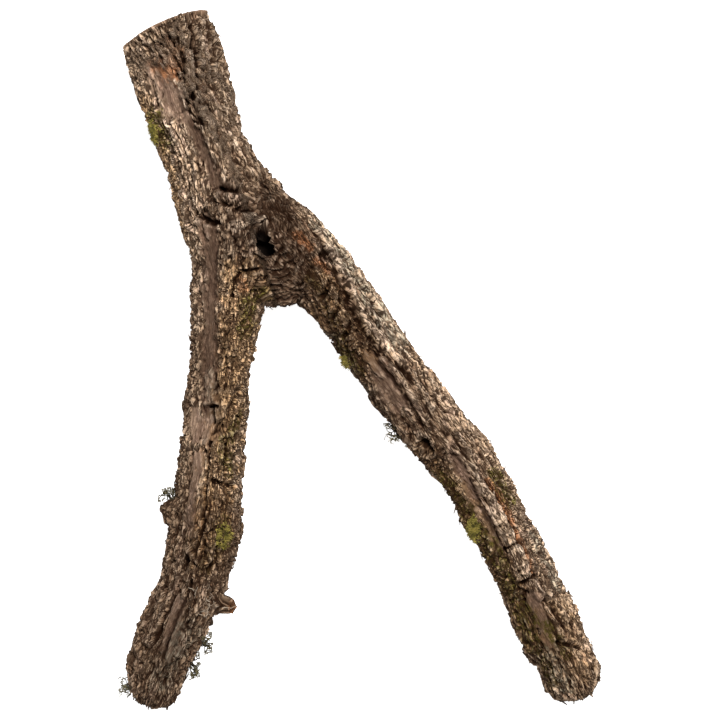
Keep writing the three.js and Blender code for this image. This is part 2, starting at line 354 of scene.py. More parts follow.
# What marks each limb's bark, and where: a path of (millimetres along, degrees around) points with 90 degrees
# uppermost, the half-width in millimetres and, where it is less than 1, the strength.
# The light and dusk zones make whole flanks lighter and darker: partly paler and darker bark, partly painted
# light and painted shade.
ZONES = {
    "stem": {
        "floor": [
            ([(16, 122), (40, 116), (66, 112)], 15),
            ([(60, 106), (100, 94), (130, 86), (146, 76)], 6.5),
            ([(176, 98), (208, 105), (240, 113), (290, 114), (326, 104), (352, 96)], 9.5),
            ([(338, 134), (352, 122)], 8),
            ([(372, 112), (405, 118), (430, 112)], 6),
            ([(500, 100), (540, 80)], 8),
        ],
        "strings": [
            ([(76, 122), (110, 112), (150, 106)], 9),
            ([(76, 68), (110, 66), (140, 58)], 13),
        ],
        "crumbs": [
            ([(0, 150), (36, 158), (74, 150)], 11),
            ([(182, 142), (240, 152), (320, 150), (380, 150), (440, 160)], 8),
            ([(410, 180), (440, 182)], 10),
        ],
        "blocks": [
            ([(232, 44), (290, 50), (330, 40)], 16),
            ([(396, 45), (460, 50)], 22),
            ([(84, 150), (140, 146), (175, 142)], 16),
        ],
        "ledges": [
            ([(228, 72), (262, 76), (300, 74)], 11),
            ([(360, 79), (388, 76)], 7.5),
            ([(360, 42), (387, 38)], 9),
        ],
        "lumps": [
            ([(304, 106), (320, 106)], 7.5),
            ([(316, 76), (334, 72)], 8),
            ([(396, 96), (420, 110)], 9),
        ],
        "gnarl": [
            ([(160, 60), (190, 40), (214, 30)], 20),
        ],
        "rust": [
            ([(-8, 138), (8, 124), (20, 110), (34, 98)], 15),
            ([(20, 124), (34, 116)], 9, 0.7),
            ([(62, 62), (74, 58)], 4),
            ([(206, 8), (214, 14)], 4),
            ([(222, 58), (230, 50)], 4, 0.6),
        ],
        "moss": [
            ([(74, 150), (90, 142)], 11),
            ([(425, 58), (440, 52)], 9, 0.6),
            ([(446, 60), (464, 66)], 6, 0.5),
            ([(238, 40), (262, 42)], 8),
            ([(334, 40), (356, 62)], 5),
            ([(366, 60), (378, 52)], 7),
        ],
        "olive": [
            ([(222, 56), (300, 58), (370, 68), (450, 70)], 17),
            ([(60, 160), (120, 158), (170, 150)], 10),
        ],
        # Painted shade, partly darker bark, on lower flanks, furrows and the left limb's far end.
        "dusk": [
            ([(462, 90), (500, 92), (572, 90)], 62),
            ([(190, 172), (330, 172), (460, 176)], 11),
            ([(90, 96), (130, 86), (146, 76)], 7),
            ([(172, 96), (208, 105), (240, 113), (290, 114), (326, 104)], 10),
            ([(4, 36), (40, 38), (78, 44)], 18, 0.6),
            ([(322, 82), (340, 64)], 8, 0.5),
            ([(296, 50), (316, 58), (340, 78)], 8, 0.4),
        ],
        # Painted light, partly paler bark, on flanks and lumps that face the light.
        "light": [
            ([(304, 106), (318, 106)], 6),
            ([(62, 150), (110, 146), (170, 142)], 12),
            ([(392, 60), (420, 70), (452, 60)], 16),
            ([(140, 70), (160, 60), (170, 40)], 10, 0.7),
            ([(8, 148), (60, 150), (120, 140), (176, 140)], 22),
            ([(90, 128), (150, 122), (170, 118)], 10),
            ([(222, 60), (296, 60)], 17),
            ([(358, 70), (392, 66), (440, 60)], 18),
            ([(30, 100), (60, 104)], 10),
            ([(130, 50), (150, 46)], 12),
        ],
        "grey": [
            ([(96, 30), (124, 22)], 7),
            ([(302, 108), (316, 106)], 6, 0.6),
            ([(520, 60), (568, 70)], 12),
        ],
    },
    "right": {
        "floor": [
            ([(205, 96), (250, 112), (290, 116)], 6),
            ([(345, 98), (385, 104)], 6.5),
            ([(100, 106), (140, 112)], 9),
            ([(346, 96), (374, 92)], 6),
        ],
        "strings": [
            ([(-30, 60), (20, 62), (80, 70), (130, 76), (180, 72), (225, 60)], 24),
            ([(350, 60), (400, 62)], 15),
        ],
        "blocks": [
            ([(196, 140), (260, 145), (330, 140)], 13),
            ([(230, 40), (300, 36), (340, 40)], 14),
        ],
        "ledges": [
            ([(10, 94), (40, 102), (80, 108)], 13),
            ([(200, 118), (226, 122)], 9),
        ],
        "lumps": [
            ([(240, 80), (270, 84), (292, 88)], 7.5),
            ([(298, 92), (322, 92)], 8),
            ([(331, 80), (343, 78)], 6.5),
            ([(214, 130), (262, 134)], 7),
            ([(392, 52), (410, 60)], 14),
        ],
        "gnarl": [
            ([(-52, 100), (-30, 115), (-8, 140)], 24),
        ],
        "rust": [
            ([(-24, 86), (-10, 82)], 4),
            ([(2, 82), (16, 76)], 4),
            ([(238, 68), (265, 62), (296, 68), (325, 76)], 3.5),
        ],
        "moss": [
            ([(74, 152), (96, 146)], 9),
            ([(12, 112), (40, 120), (66, 126)], 5, 0.6),
            ([(210, 138), (262, 142), (305, 132)], 6),
            ([(286, 124), (312, 126), (340, 124)], 5),
            ([(325, 140), (375, 138), (415, 140)], 8),
            ([(346, 118), (362, 112)], 4),
            ([(372, 96), (400, 80)], 6),
            ([(236, 50), (262, 44)], 6),
        ],
        "olive": [
            ([(20, 100), (60, 110), (90, 120)], 15),
            ([(40, 142), (100, 150)], 12),
            ([(376, 70), (416, 90)], 22, 0.7),
            ([(190, 140), (260, 142), (330, 140), (400, 130)], 14),
        ],
        # Painted shade, partly darker bark, on the right limb's lower flank.
        "dusk": [
            ([(-56, 100), (-34, 112), (-10, 130), (20, 140)], 26),
            ([(20, 156), (60, 150), (120, 150), (190, 146)], 24),
            ([(230, 170), (330, 172), (410, 168)], 17),
            ([(340, 100), (400, 100)], 14),
            ([(160, 96), (178, 92)], 9, 0.5),
            ([(380, 100), (398, 112)], 10, 0.4),
            ([(126, 84), (190, 84)], 18, 0.45),
        ],
        # Painted light, partly paler bark, along the right limb's upper flank and its light ridge.
        "light": [
            ([(-10, 51), (8, 53), (32, 56), (50, 66), (67, 76), (95, 72), (123, 66)], 3.5),
            ([(-20, 44), (40, 40), (120, 40), (200, 36), (330, 30), (400, 36)], 17),
            ([(232, 80), (300, 80), (340, 84)], 7, 0.4),
        ],
        "grey": [
            ([(-20, 30), (40, 34), (100, 40)], 10),
            ([(60, 166), (112, 168)], 8),
            ([(300, 30), (345, 34)], 6),
            ([(398, 120), (424, 118)], 9),
        ],
    },
}

# Each limb's single marks: path, half-width in millimetres at the surface, and height, negative for a cut.
MARKS = {
    "stem": [
        # the long valley of the trunk, and the furrow of the left limb
        ([(10, 124), (40, 116), (72, 106), (100, 94), (130, 86), (148, 74)], 11, -3.0),
        ([(66, 102), (100, 94), (130, 86), (146, 76)], 5, -2.5),
        ([(174, 96), (208, 104), (240, 113), (290, 115), (326, 106), (352, 98)], 9, -3.2),
        # a ledge that hangs over a dark cleft on the trunk, and the ridges up to the sawn end
        ([(4, 60), (36, 62), (58, 68), (68, 78)], 2.6, -5.0),
        ([(66, 82), (74, 86), (88, 82)], 5.8, -8.0),
        ([(4, 96), (16, 90), (30, 84), (44, 80)], 4.2, -6.0),
        ([(8, 106), (24, 98), (36, 92)], 3.4, 4.0),
        ([(30, 70), (50, 72), (64, 76)], 3.6, 3.4),
        ([(40, 62), (62, 60), (90, 56)], 3.0, 3.4),
        ([(46, 92), (52, 84), (58, 80)], 2.4, -3.6),
        ([(70, 66), (80, 64), (98, 60)], 7, 5.0),
        ([(6, 80), (40, 78)], 2.0, -3.0),
        ([(0, 50), (36, 53), (66, 56)], 4.5, 3.2),
        ([(0, 30), (40, 32), (76, 36)], 5.0, 2.6),
        ([(4, 41), (40, 43), (80, 46)], 1.8, -4.0),
        ([(-16, 38), (-11, 20), (-2, -6)], 9.0, -4.5),
        # the notch near the trunk's edge
        ([(90, 50), (98, 40), (104, 20)], 5.4, -9.0),
        # strings beside the valley
        ([(78, 128), (112, 118), (150, 110), (172, 112)], 2.2, 2.4),
        ([(80, 120), (112, 110), (152, 102)], 1.8, 2.0),
        ([(88, 138), (130, 130), (168, 126)], 1.8, -2.0),
        # clefts and chips of the knot
        ([(164, 112), (171, 100), (174, 84)], 2.8, -5.0),
        ([(176, 102), (184, 100)], 3.2, 3.4),
        ([(214, 44), (216, 58), (224, 66), (234, 70)], 2.0, -4.0),
        ([(218, 40), (222, 56), (232, 62)], 3.6, 2.6),
        ([(146, 78), (150, 58), (156, 38)], 2.4, -5.0),
        ([(140, 72), (143, 54), (148, 34)], 4.0, 3.6),
        ([(152, 80), (156, 60), (162, 40)], 3.4, 3.8),
        ([(158, 84), (163, 64), (168, 46)], 2.2, -4.5),
        # the left limb's breaks, lumps and oblique cracks
        ([(303, 106), (320, 106)], 7.5, 3.2),
        ([(317, 75), (334, 72)], 7.0, 3.6),
        ([(328, 108), (326, 84)], 1.3, -6.0),
        ([(328, 98), (339, 91)], 3.2, -7.0),
        ([(357, 93), (340, 70), (320, 50), (306, 29)], 3.8, -4.5),
        ([(358, 108), (353, 80), (347, 46)], 2.8, 3.6),
        ([(300, 96), (316, 90)], 2.0, -3.6),
        ([(358, 61), (374, 59), (390, 58)], 1.8, -4.6),
        ([(358, 92), (388, 92)], 1.8, -3.4),
        ([(366, 34), (374, 38)], 3.6, -6.0),
        ([(390, 80), (394, 40)], 2.2, -4.5),
        ([(404, 66), (430, 72), (452, 64)], 4.5, 3.6),
        ([(430, 52), (446, 56), (466, 60)], 2.6, -5.5),
        ([(396, 90), (430, 86), (452, 92)], 2.2, -4.5),
        ([(452, 108), (462, 84), (456, 60)], 3.0, 3.4),
        ([(462, 110), (500, 112), (536, 116)], 3.0, -4.5),
        ([(470, 60), (505, 66), (540, 60)], 4.0, 3.6),
        ([(480, 86), (520, 92), (552, 84)], 2.6, -4.0),
        ([(500, 130), (540, 126)], 3.5, 3.0),
    ],
    "right": [
        # the right limb's chain of corky lumps with furrows on both sides
        ([(234, 80), (264, 84), (290, 88)], 7.0, 5.0),
        ([(300, 92), (320, 92)], 7.5, 5.0),
        ([(332, 80), (343, 78)], 6.0, 4.0),
        ([(296, 76), (295, 104)], 1.8, -5.0),
        ([(327, 72), (328, 106)], 2.0, -5.0),
        ([(229, 76), (258, 69), (296, 73), (328, 70), (350, 72)], 2.8, -5.0),
        ([(205, 96), (250, 112), (290, 114), (305, 104)], 5.5, -3.6),
        ([(192, 66), (228, 80)], 2.6, 3.2),
        ([(345, 58), (375, 51)], 2.2, 3.4),
        ([(348, 68), (380, 62)], 2.0, -3.6),
        ([(352, 48), (385, 42)], 1.8, -3.2),
        ([(350, 78), (392, 86)], 3.0, -3.0),
        ([(388, 90), (396, 64), (404, 40)], 2.4, -4.5),
        ([(204, 146), (250, 150), (300, 146)], 3.5, 2.8),
        # a light wavy ridge down the right limb, and the dark hollow way beside it
        ([(-16, 50), (8, 53), (32, 56), (50, 66), (67, 76), (95, 72), (123, 66), (160, 70)], 3.2, 5.0),
        ([(2, 66), (30, 73), (50, 84), (70, 92), (95, 88)], 4.6, -6.0),
        ([(22, 88), (27, 100), (30, 118)], 2.2, -5.0),
        ([(40, 92), (46, 106), (50, 124)], 2.0, -4.5),
        ([(60, 98), (66, 112), (68, 126)], 2.2, -5.0),
        ([(2, 92), (30, 96), (60, 104)], 3.0, 3.0),
        ([(60, 60), (90, 54), (130, 50), (170, 52)], 2.2, -3.4),
        ([(30, 36), (70, 40), (110, 34)], 2.2, -3.2),
        ([(110, 82), (150, 88), (176, 104)], 2.6, 3.0),
        ([(120, 130), (150, 134), (176, 140)], 3.4, 3.0),
        # the right limb's dark knot hole and its lip
        ([(176, 122), (188, 122)], 9.0, 4.5),
        ([(180, 121), (187, 122)], 4.6, -11.0),
        # long slivers on the right limb's upper part
        ([(90, 100), (130, 96), (168, 104)], 2.4, -2.6),
        ([(40, 112), (80, 116), (112, 108)], 3.4, 2.6),
    ],
}


class Knot:
    """The gnarled fork, and the hollow in it that a dead side branch left."""

    REACH = 46.0  # how far the gnarled wood reaches, mm
    HOLLOW = np.array([(-15.5, 22.5), (-13.5, 15.0), (-10.0, 7.5)])  # its line, seen from the middle, mm
    HOLLOW_WIDTH = 6.0
    HOLLOW_DEPTH = 15.0
    SLAB = np.array([(-37.0, 28.0), (-26.0, 36.0), (-14.0, 32.0)])  # the slab of old wood over the hollow
    SLAB_TURN = np.array([[0.9, 0.44, 0], [-0.44, 0.9, 0], [0, 0, 1]])  # and the way its grain runs

    def __init__(self, stem, branch):
        gap = np.linalg.norm(stem.centres[:, None] - branch.centres[None, :20], axis=2)
        near_stem, near_branch = np.unravel_index(gap.argmin(), gap.shape)
        self.middle = (stem.centres[near_stem] + 2 * branch.centres[near_branch]) / 3

    def plan_distance(self, points, line):
        """Distance on the plan from each point to a line given from the knot's middle."""
        flat = points[:, :2] - self.middle[:2]
        best = np.full(len(points), 999.0)
        for start, end in zip(line[:-1], line[1:]):
            way = end - start
            share = np.clip((flat - start) @ way / (way @ way), 0, 1)
            best = np.minimum(best, np.linalg.norm(flat - start - share[:, None] * way, axis=1))
        return best

    def swirl(self, points):
        """Coordinates out from the hollow, round it, and up."""
        wander = np.stack([smooth_noise(points / 12, 70 + k) for k in range(3)], axis=1)
        flat = (points + 6 * wander)[:, :2] - self.middle[:2] - self.HOLLOW[1]
        out = np.hypot(*flat.T)
        return np.stack([out, np.arctan2(flat[:, 1], flat[:, 0]) * 16, points[:, 2]], axis=1)

    def weight(self, points):
        """How far each point belongs to the gnarled wood, 0 to 1."""
        away = np.linalg.norm((points - self.middle) * [1, 1, 0.7], axis=1)
        away += 9 * smooth_noise(points / 16, 75) + 4 * smooth_noise(points / 6, 76)
        return step(self.REACH, self.REACH - 14, away)

    def hollow(self, points):
        """How deep in the hollow each point is, 0 to 1."""
        distance = self.plan_distance(points, self.HOLLOW)
        distance += 1.6 * smooth_noise(points / 5, 77) + 0.8 * smooth_noise(points / 2.2, 78)
        return step(self.HOLLOW_WIDTH * 1.15, self.HOLLOW_WIDTH * 0.45, distance) * self.upper(points)

    def lip(self, points):
        """How far each point belongs to the slab of old wood beside the hollow, 0 to 1."""
        distance = self.plan_distance(points, self.SLAB) + 1.2 * smooth_noise(points / 4, 79)
        return step(5.6, 2.6, distance) * self.upper(points)

    def slab_relief(self, points):
        """The height of the slab's long splinters."""
        return 1.6 + 3.6 * ridges(points @ self.SLAB_TURN / [11.0, 2.2, 6.0], 98)

    def upper(self, points):
        """1 on the upper side of the knot, where the hollow is, and 0 below."""
        return step(self.middle[2] - 4, self.middle[2] + 8, points[:, 2])


class Ground:
    """The skin's points in one limb's coordinates, and the fields that its bark is made of."""

    def __init__(self, limb, points, knot, seed):
        self.seed = seed
        self.points = points
        self.knot = knot
        self.along, self.angle, _, self.radius, self.flow = limb.locate(points)
        radius, angle = self.radius, self.angle
        self.post = np.stack([radius * np.cos(angle), radius * np.sin(angle), self.along], axis=1)
        drift = np.stack([smooth_noise(self.post / [17, 17, 26], seed + k) for k in (1, 2, 3)], axis=1)
        fine_drift = np.stack([smooth_noise(self.post / [6, 6, 9], seed + k) for k in (4, 5, 6)], axis=1)
        self.warped = self.post + drift * [3.4, 3.4, 5.0] + fine_drift * [1.0, 1.0, 1.6]
        self.wander = smooth_noise(self.post / [5, 5, 8], seed + 9)
        self.wander += 0.6 * smooth_noise(self.post / [2.2, 2.2, 3.6], seed + 10)

    def grain(self, across, along):
        """Coordinates for noise with features of this size, in millimetres."""
        return self.warped / [across, across, along]

    def near(self, path, half_width, rough):
        """How near each point is to a path on the bark: 1 on it, and 0 past its rough edge."""
        best = np.full(len(self.along), 9.0)
        half_turn = np.pi * self.radius
        degree = half_turn / 180
        for (start, start_angle), (end, end_angle) in zip(path[:-1], path[1:]):
            way_x, way_y = end - start, (end_angle - start_angle) * degree
            x = self.along - start
            y = (self.angle * self.radius - start_angle * degree + half_turn) % (2 * half_turn) - half_turn
            share = np.clip((x * way_x + y * way_y) / (way_x * way_x + way_y * way_y), 0, 1)
            best = np.minimum(best, np.hypot(x - share * way_x, y - share * way_y) / (half_width * FADE))
        return np.clip(1 - best - rough * self.wander, 0, 1)

    def zone(self, name, limb_name):
        """A zone's weight, from 0 to 1, with ragged edges."""
        weight = np.zeros(len(self.along))
        for path, half_width, *strength in ZONES[limb_name].get(name, ()):
            inside = step(0.0, 0.45, self.near(path, half_width, 0.42))
            weight = np.maximum(weight, inside * (strength[0] if strength else 1.0))
        return weight

    def swell(self, height, across, along, seed):
        """Smooth rises and dips of this height and size."""
        return height * smooth_noise(self.grain(across, along), self.seed + seed)

    def crests(self, height, across, along, seed):
        """Sharp crests, with as much below the middle as above it."""
        return height * (ridges(self.grain(across, along), self.seed + seed) - 0.5)

    def cracks(self, depth, across, along, seed, start, full=0.98):
        """Cracks along the noise's crests: they begin where it is start and are deepest where it is full."""
        return -depth * step(start, full, ridges(self.grain(across, along), self.seed + seed))

    def slabs(self, size, seed, gap, uneven, tilt=0.0, width=0.2):
        """Plates parted by gaps, at uneven heights and tilted, and a random number for each plate."""
        border, numbers, offset = plates(self.grain(*size), self.seed + seed)
        height = uneven * (numbers[:, 0] - 0.5) + tilt * offset[:, 2] * (numbers[:, 1] - 0.3)
        return height - gap * (1 - step(0.02, width, border)), numbers[:, 2]

    def cork(self):
        """Corky bark: long plates parted by furrows, tilted and set at uneven heights, with slivers."""
        height, luck = self.slabs((6.8, 21), 22, 1.5, 1.3, tilt=1.4)
        self.tone = luck - 0.5
        height += self.swell(1.5, 16, 42, 20)
        height += self.cracks(3.0, 15, 52, 21, 0.72, 0.97) + self.cracks(1.9, 6.8, 32, 24, 0.68, 0.97)
        return height + self.crests(1.7, 3.9, 30, 25) + self.crests(1.0, 2.4, 19, 26)

    def blocks(self):
        """Corky bark in low lumps, finely cracked across the grain."""
        height = 0.8 + self.swell(1.6, 12, 22, 30) + self.slabs((6.2, 7.5), 31, 1.0, 1.1, tilt=1.0)[0]
        height += self.cracks(2.4, 10, 24, 36, 0.78) + self.cracks(0.9, 10, 3.2, 32, 0.74)
        return height + self.cracks(1.3, 5.0, 22, 33, 0.74)

    def strings(self):
        """Long fine slivers along the grain."""
        height = self.swell(1.3, 11, 40, 40) + self.slabs((4.0, 18), 43, 0.9, 1.0, width=0.22)[0]
        return height + self.crests(2.3, 5.0, 32, 41) + self.crests(1.2, 2.8, 17, 42)

    def crumbs(self):
        """Crumbly cork, in nodules."""
        height = 1.0 + self.swell(1.6, 8, 14, 50) + self.slabs((4.0, 6.0), 51, 1.4, 1.5, width=0.3)[0]
        return height + self.cracks(1.4, 4.5, 14, 52, 0.7, 0.97)

    def ledges(self):
        """Thin layers of cork stepped across the grain, each a little over the next."""
        wave = self.swell(1.3, 7, 16, 91) + self.swell(0.5, 3, 8, 92)
        share = (self.warped[:, 2] / 5.6 + wave) % 1
        height = 3.0 * share * (1 - step(0.86, 1.0, share)) - 1.2 + self.swell(1.2, 13, 20, 90)
        return height + self.cracks(1.6, 6.5, 22, 93, 0.76) + self.swell(0.5, 2.4, 2.4, 94)

    def lumps(self):
        """Rounded corky lumps, almost smooth, with a few fine cracks."""
        border, numbers, _ = plates(self.grain(11, 13), self.seed + 95)
        height = 2.2 * np.sqrt(step(0.0, 0.8, border)) - 0.6 + 0.8 * (numbers[:, 0] - 0.5)
        return height + self.cracks(0.9, 6, 8, 96, 0.84, 0.99) + self.swell(0.35, 2.6, 3.2, 97)

    def gnarl(self):
        """The wrinkled wood of the knot, whose grain runs round its hollow. The limbs share it."""
        swirl = self.knot.swirl(self.points)
        height = 1.5 * smooth_noise(self.points / 13, 60)
        height += 2.6 * (ridges(swirl / [5.2, 22, 12], 61) - 0.5)
        height += 1.7 * (ridges(swirl / [2.9, 11, 6], 62) - 0.5)
        height += 0.9 * (ridges(self.points / 3.0, 63) - 0.5)
        border, numbers, _ = plates(swirl / [5.0, 8.0, 7], 64)
        height -= 1.2 * (1 - step(0.02, 0.22, border))
        height += 2.4 * (numbers[:, 0] - 0.5)
        return height

    def floor(self):
        """The smooth streaky wood in the bottom of a furrow."""
        blister = step(0.25, 0.6, self.swell(1.0, 5, 9, 72)) * ridges(self.grain(2.6, 7), self.seed + 73)
        return self.swell(0.7, 7, 34, 70) + self.swell(0.35, 1.9, 17, 71) + 0.9 * blister - 1.6

    def marks(self, limb_name):
        """The height of the single marks."""
        total = np.zeros(len(self.along))
        for path, half_width, height in MARKS[limb_name]:
            total += MARK_DEPTH * height * step(0.0, 0.7, self.near(path, half_width, 0.35))
        return total


BARK_KINDS = ["blocks", "strings", "crumbs", "ledges", "floor", "lumps", "gnarl"]
# Rust, moss, grey and olive are the bark's own colours; dusk and light are partly painted shade and painted
# light.
TINTS_AND_PAINTED_LIGHT = ["rust", "moss", "grey", "olive", "dusk", "light"]
FIELDS = ["grain", "out", "rim", "tone", "crevice", "nook", "cut", "pit", "lip"]
STORED = FIELDS + BARK_KINDS + TINTS_AND_PAINTED_LIGHT  # what the materials read at each point


def raise_bark(limb, limb_name, points, knot, seed):
    """The bark's height at each point, the weight of each zone there, and the grain."""
    ground = Ground(limb, points, knot, seed)
    weights = {name: ground.zone(name, limb_name) for name in BARK_KINDS + TINTS_AND_PAINTED_LIGHT}
    weights["gnarl"] = np.maximum(weights["gnarl"], knot.weight(points))
    height = ground.cork()
    for kind in BARK_KINDS:
        weight = weights[kind]
        height = height * (1 - weight) + getattr(ground, kind)() * weight
    calm = 1 - 0.75 * np.maximum(weights["floor"], weights["lumps"])
    height += calm * 0.2 * smooth_noise(ground.warped / [2.0, 2.0, 9.0], seed + 80)
    height = BARK_DEPTH * height + ground.marks(limb_name)
    weights["pit"], weights["lip"] = pit, lip = knot.hollow(points), knot.lip(points)
    height = height * (1 - 0.6 * pit) - knot.HOLLOW_DEPTH * pit
    weights["height"] = height + lip * knot.slab_relief(points)
    weights["tone"], weights["grain"], weights["flow"] = ground.tone, ground.post, ground.flow
    return weights


def blend_limbs(skin, stem, branch):
    """The bark's fields at each point of the skin, which pass from one limb's to the other's at the fork."""
    knot = Knot(stem, branch)
    away = []
    for limb in (stem, branch):
        _, _, out, radius, _ = limb.locate(skin.points)
        away.append(out - radius)
    ragged = 3 * smooth_noise(skin.points / 7, 90)
    share = step(-3, 3, away[0] - away[1] + ragged)
    fields = {}
    for limb, name, mix, seed in ((stem, "stem", 1 - share, 100), (branch, "right", share, 300)):
        chosen = np.nonzero(mix > 0)[0]
        own = raise_bark(limb, name, skin.points[chosen], knot, seed)
        for key, values in own.items():
            if key not in fields:
                fields[key] = np.zeros((len(skin.points),) + values.shape[1:])
            weight = mix[chosen] if values.ndim == 1 else mix[chosen, None]
            fields[key][chosen] += weight * values
    return fields


def rusty_tip(points):
    """How far each point belongs to the broken tip of the twig stub, 0 to 1."""
    low, high = node_box("twig_stub")
    inside = np.all((points > low - 2) & (points < high + 2), axis=1)
    return inside * step(high[0] - 6, high[0] - 2.5, points[:, 0])


def sculpt(skin, fields):
    """Raises the bark on the skin, and adds the fields that depend on the skin itself.

    Values are compared with blurred ones; the more passes of blurring, the wider the surroundings.
    """
    normals = skin.blurred(skin.normals(), 6)
    normals /= np.linalg.norm(normals, axis=1)[:, None]
    cut = sawn_face(skin.points, normals)
    pith = skin.points[cut > 0.5].mean(0)
    fields["cut"] = cut
    fields["out"] = np.linalg.norm(skin.points - pith, axis=1)
    fields["rim"] = 1 - skin.blurred(cut, 60)
    fields["rust"] = np.maximum(fields["rust"], rusty_tip(skin.points))
    saw_marks = 0.12 * smooth_noise(skin.points / [30, 3, 1.3], 500)
    saw_marks += 0.25 * smooth_noise(skin.points / 5, 501)
    height = fields["height"] * (1 - cut) + saw_marks * cut
    sharpened = height + SHARPENING * (height - skin.blurred(height, 3))
    skin.points = skin.points + normals * sharpened[:, None]
    swelling = SWELLING * step(-1.5, 0.5, height - skin.blurred(height, 8)) * (1 - cut)
    skin.points = skin.points + skin.normals() * (swelling - 0.5 * SWELLING)[:, None]
    normal, reach = sawn_plane()
    beyond = np.maximum(skin.points @ normal - reach, 0)
    skin.points -= beyond[:, None] * normal
    skin.points[:, 2] = np.maximum(skin.points[:, 2], LOWEST)
    # crevice and nook: how far each point lies below its near and its wider surroundings, which the bark
    # finish turns into painted shade, and into a painted highlight where a crest stands out.
    fields["crevice"] = skin.blurred(height, 14) - height
    fields["nook"] = skin.blurred(height, 90) - height


def sawn_plane():
    """The outward normal of the trunk's sawn end, and how far out the end lies, from its flat CAD face."""
    areas = {}
    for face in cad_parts["trunk"].data.polygons:
        key = tuple(round(number, 2) for number in face.normal)
        areas[key] = areas.get(key, 0) + face.area
    normal = np.array(max(areas, key=areas.get))
    normal /= np.linalg.norm(normal)
    return normal, (node_points("trunk") @ normal).max()


def sawn_face(points, normals):
    """How far each point belongs to the sawn end of the trunk, 0 to 1."""
    normal, reach = sawn_plane()
    depth = reach - points @ normal
    return step(3.0, 1.2, depth) * step(0.7, 0.93, normals @ normal)


# ---------------------------------------------------------------- meshes


def make_object(name, points, faces):
    """A mesh object from points in millimetres and faces that all have the same number of corners."""
    mesh = bpy.data.meshes.new(name)
    corners = faces.shape[1]
    mesh.vertices.add(len(points))
    mesh.vertices.foreach_set("co", (points * MM).astype(np.float32).ravel())
    mesh.loops.add(faces.size)
    mesh.loops.foreach_set("vertex_index", faces.astype(np.int32).ravel())
    mesh.polygons.add(len(faces))
    mesh.polygons.foreach_set("loop_start", np.arange(0, faces.size, corners, dtype=np.int32))
    mesh.update(calc_edges=True)
    mesh.shade_smooth()
    piece = bpy.data.objects.new(name, mesh)
    bpy.context.scene.collection.objects.link(piece)
    return piece


def add_field(piece, name, values):
    """Stores a number or a vector for each point, for the materials to read."""
    kind, key = ("FLOAT", "value") if values.ndim == 1 else ("FLOAT_VECTOR", "vector")
    attribute = piece.data.attributes.new(name, kind, "POINT")
    attribute.data.foreach_set(key, values.astype(np.float32).ravel())


def nearest_nodes(points):
    """Which wood node each point is nearest to, as numbers in WOOD_NODES."""
    distances = np.full((len(points), len(WOOD_NODES)), np.inf)
    for number, name in enumerate(WOOD_NODES):
        corners = node_points(name)
        close = np.all((points > corners.min(0) - 6) & (points < corners.max(0) + 6), axis=1)
        tree = BVHTree.FromPolygons([Vector(c) for c in corners], node_triangles(name).tolist())
        distances[close, number] = [tree.find_nearest(Vector(p))[3] for p in points[close]]
    return distances.argmin(1)


def close_openings(piece):
    """Closes a piece where it was parted from its neighbours, and keeps its edge there crisp."""
    shape = bmesh.new()
    shape.from_mesh(piece.data)
    rims = [edge for edge in shape.edges if edge.is_boundary]
    for edge in rims:
        edge.smooth = False
    lids = bmesh.ops.holes_fill(shape, edges=rims, sides=0)["faces"]
    for lid in lids:
        lid.smooth = False
    bmesh.ops.triangulate(shape, faces=lids)
    shape.to_mesh(piece.data)
    shape.free()


def part_skin(skin, flat_points, fields):
    """Parts the skin where the CAD nodes part, closes each piece, and names each piece after its node."""
    owner = nearest_nodes(flat_points[skin.quads].mean(1))
    pieces = {}
    for number, node in enumerate(WOOD_NODES):
        used, compact = np.unique(skin.quads[owner == number], return_inverse=True)
        piece = make_object(node + "_bark", skin.points[used], compact.reshape(-1, 4))
        for name in STORED:
            add_field(piece, name, fields[name][used])
        close_openings(piece)
        pieces[node] = piece
    return pieces


# ---------------------------------------------------------------- flakes


def flake_faces(rows, columns):
    """One flake's four-sided faces. The points of its upper side come first, row by row, then the lower."""
    number = np.arange(rows * columns).reshape(rows, columns)
    top = np.stack([number[:-1, :-1], number[1:, :-1], number[1:, 1:], number[:-1, 1:]], -1).reshape(-1, 4)
    below = top[:, ::-1] + rows * columns
    rim = np.concatenate([number[0, :], number[1:, -1], number[-1, -2::-1], number[-2:0:-1, 0]])
    after = np.roll(rim, -1)
    wall = np.stack([rim, after, after + rows * columns, rim + rows * columns], axis=1)
    return np.concatenate([top, below, wall])


